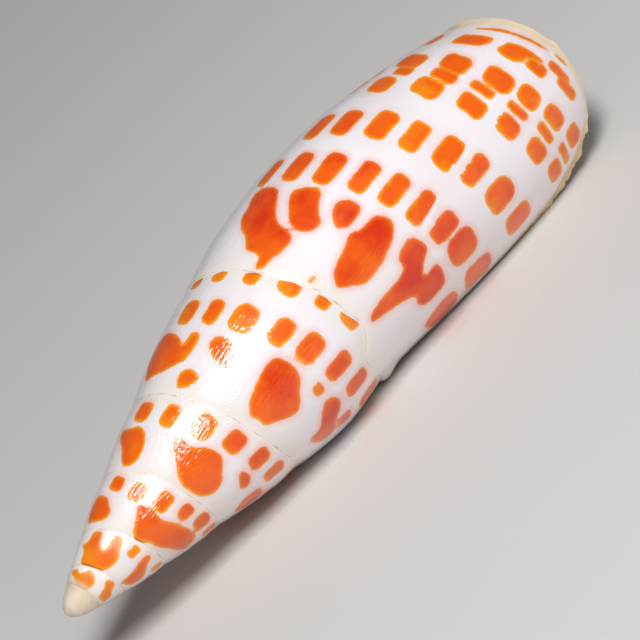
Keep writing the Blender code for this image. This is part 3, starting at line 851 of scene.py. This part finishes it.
# Each share: the value that it follows, where it is none and where it is full, and its most
SHARE = {"cloud": (lumps["cloud"], -0.2, 0.3, 1.0),
         "by_seam": (carried["to_seam"], 4.0, 0.3, 0.8),
         "halo": (depth, -1.3, 0.0, 1.0), "halo_warm": (warm, 0.1, 1.0, 0.55),
         "core": (warm, -0.1, 0.42, 1.0), "red": (warm, 0.5, 1.35, 1.0),
         "inner": (depth, 0.0, 0.75, 1.0), "spot": (depth, -0.20, 0.14, 1.0),
         "rim_warm": (warm, 0.3, 1.0, 1.0), "margin": (margin, 2.4, 1.5, 1.0),
         "worn": (along, 3.6, 2.2, 1.0), "hairline": (hair, 0.10, -0.06, 0.6),
         "break_line": (carried["break_line"], 0.10, 0.0, 0.25),
         "cut": (carried["to_seam"], 0.5, 0.12, 0.8), "front": (along, 112.0, 117.5, 1.0),
         "mouth": (carried["mouth"], 0.0, 1.0, 1.0), "grain": (lumps["coarse"], -0.3, 0.3, 1.0)}
share = {}
for name, (value, none_at, full_at, most) in SHARE.items():
    share[name] = node("ShaderNodeMapRange", {"Value": value, "From Min": none_at,
                                              "From Max": full_at, "To Max": most},
                       interpolation_type="SMOOTHSTEP")
for both, first, second in (("halo", "halo", "halo_warm"), ("cut", "cut", "spot")):
    share[both] = node("ShaderNodeMath", {0: share[first], 1: share[second]},
                       operation="MULTIPLY")

# Colours laid one over the next: share of the new one, what is under it, and the new one
LAYERS = (("white", "cloud", "#F7F1F5", "#F4ECEE"), ("white", "by_seam", "white", "#F6EDE4"),
          ("ground", "halo", "white", "#FBB09C"), ("orange", "core", "#FC8A00", "#F86400"),
          ("red", "red", "orange", "#DE3000"), ("rim", "rim_warm", "#FCA000", "#F47000"),
          ("spot", "inner", "rim", "red"), ("plain_edge", "spot", "ground", "spot"),
          ("marked", "cut", "plain_edge", "#B93A0C"), ("tan", "grain", "#EBCB98", "#DDB27C"),
          ("cream", "front", "tan", "#FBE6C4"), ("edged", "margin", "marked", "cream"),
          ("tip", "grain", "#F3E6D4", "#E2C7A4"), ("worn", "worn", "edged", "tip"),
          ("seamed", "hairline", "worn", "#B98F70"), ("broken", "break_line", "seamed", "#C9B2BC"),
          ("lining", "grain", "#F8EAD2", "#F3DFC4"), ("all", "mouth", "broken", "lining"))
colours = {}
for name, over, under, top in LAYERS:
    low, high = (colours.get(c) or linear(c) for c in (under, top))
    colours[name] = node("ShaderNodeMix", {0: share[over], 6: low, 7: high}, out=2,
                         data_type="RGBA")
tree.links.new(colours["all"], shader.inputs["Base Color"])

# Growth lines run along the axis with fainter lumps between them, about two to the
# millimetre. The real ones are finer than the picture can show. The clear skin takes all
# of the relief and the white under it little, so a highlight breaks into short streaks
# where it crosses a spot, and the white stays smooth.
RELIEF = (((0.35, 1.9, 1.0), 1.0, 0.9), ((1.3, 1.6, 1.0), 0.0, 0.5), ((0.12, 0.4, 1.0), 1.0, 0.8))
RELIEF_OF = (("Normal", 0.00002), ("Coat Normal", 0.00011))
height = 0.0
for stretch, octaves, amount in RELIEF:
    lines = node("ShaderNodeMapping", {"Vector": laid_at, "Scale": stretch})
    raw = node("ShaderNodeTexNoise", {"Vector": lines, "Scale": 1.0, "Detail": octaves})
    height = node("ShaderNodeMath", {0: raw, 1: amount, 2: height}, operation="MULTIPLY_ADD")
for socket, lift in RELIEF_OF:
    bump = node("ShaderNodeBump", {"Height": height, "Strength": 1.0, "Distance": lift})
    tree.links.new(bump, shader.inputs[socket])
for socket, value in (("Metallic", 0.0), ("Roughness", 0.35), ("IOR", 1.3), ("Coat Weight", 1.0),
                      ("Coat Roughness", 0.05), ("Coat IOR", 1.5)):
    shader.inputs[socket].default_value = value
mesh.materials.append(glaze)

shell = bpy.data.objects.new("glazed_shell", mesh)
bpy.context.scene.collection.objects.link(shell)
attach(shell, "root")
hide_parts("shell")

# The floor is a plain sheet of matt paper, pale grey, big enough that its edge is never
# seen. It isn't part of the shell.
FLOOR_HALF = 2.5
floor_mesh = bpy.data.meshes.new("pale_floor")
floor_mesh.from_pydata([(-FLOOR_HALF, -FLOOR_HALF, 0.0), (FLOOR_HALF, -FLOOR_HALF, 0.0),
                        (FLOOR_HALF, FLOOR_HALF, 0.0), (-FLOOR_HALF, FLOOR_HALF, 0.0)],
                       [], [(0, 1, 2, 3)])
pale = bpy.data.materials.new("matt_paper")
pale.use_nodes = True
paper = pale.node_tree.nodes["Principled BSDF"]
paper.inputs["Base Color"].default_value = linear("#D9D7D4")
paper.inputs["Roughness"].default_value = 0.9
floor_mesh.materials.append(pale)
pale_floor = bpy.data.objects.new("pale_floor", floor_mesh)
bpy.context.scene.collection.objects.link(pale_floor)

# The camera looks at the shell from the side of its lip and a little from its spire, turned
# about its own line of sight so that the shell stands in the frame as in the picture.
CAMERA_AT = Vector((-262.11, -574.29, 317.13)) * MM
AIM_AT = Vector((2.853, -1.66, 13.718)) * MM
CAMERA_ROLL = math.radians(-39.45)
FOCAL_PIXELS = 4397.0
FRAME_PIXELS = 640.0
SENSOR = 36.0
camera_data = bpy.data.cameras.new("camera")
camera_data.sensor_width = SENSOR
camera_data.lens = FOCAL_PIXELS / FRAME_PIXELS * SENSOR
camera_data.clip_start = 0.01
camera = bpy.data.objects.new("camera", camera_data)
camera.location = CAMERA_AT
looking = (AIM_AT - CAMERA_AT).to_track_quat("-Z", "Y").to_matrix()
camera.rotation_euler = (looking @ Matrix.Rotation(CAMERA_ROLL, 3, "Z")).to_euler()
bpy.context.scene.collection.objects.link(camera)
bpy.context.scene.camera = camera


def soft_light(name, towards, distance, width, height, watts, mirrored):
    """A soft box at a distance along a direction from the shell, facing it, which the glaze
    mirrors or doesn't."""
    data = bpy.data.lights.new(name, "AREA")
    data.shape = "RECTANGLE"
    data.size = width
    data.size_y = height
    data.energy = watts
    light = bpy.data.objects.new(name, data)
    heading = Vector(towards).normalized()
    light.location = heading * distance
    light.rotation_euler = (-heading).to_track_quat("-Z", "Y").to_euler()
    light.visible_glossy = mirrored
    bpy.context.scene.collection.objects.link(light)


# Light: a soft box over the shell, which gives the highlights, a large dim one before it
# that only fills the shade, and an even pale surround.
SURROUND = 0.13
soft_light("key_light", (-0.15, -0.55, 0.82), 0.75, 0.17, 0.32, 4.6, mirrored=True)
soft_light("front_light", (0.55, -0.75, 0.35), 1.3, 2.0, 1.6, 3.8, mirrored=False)
world = bpy.data.worlds.new("pale_surround")
world.use_nodes = True
surround = world.node_tree.nodes["Background"]
surround.inputs["Color"].default_value = linear("#F2F4F8")
surround.inputs["Strength"].default_value = SURROUND
bpy.context.scene.world = world
bpy.context.scene.view_settings.view_transform = "Standard"
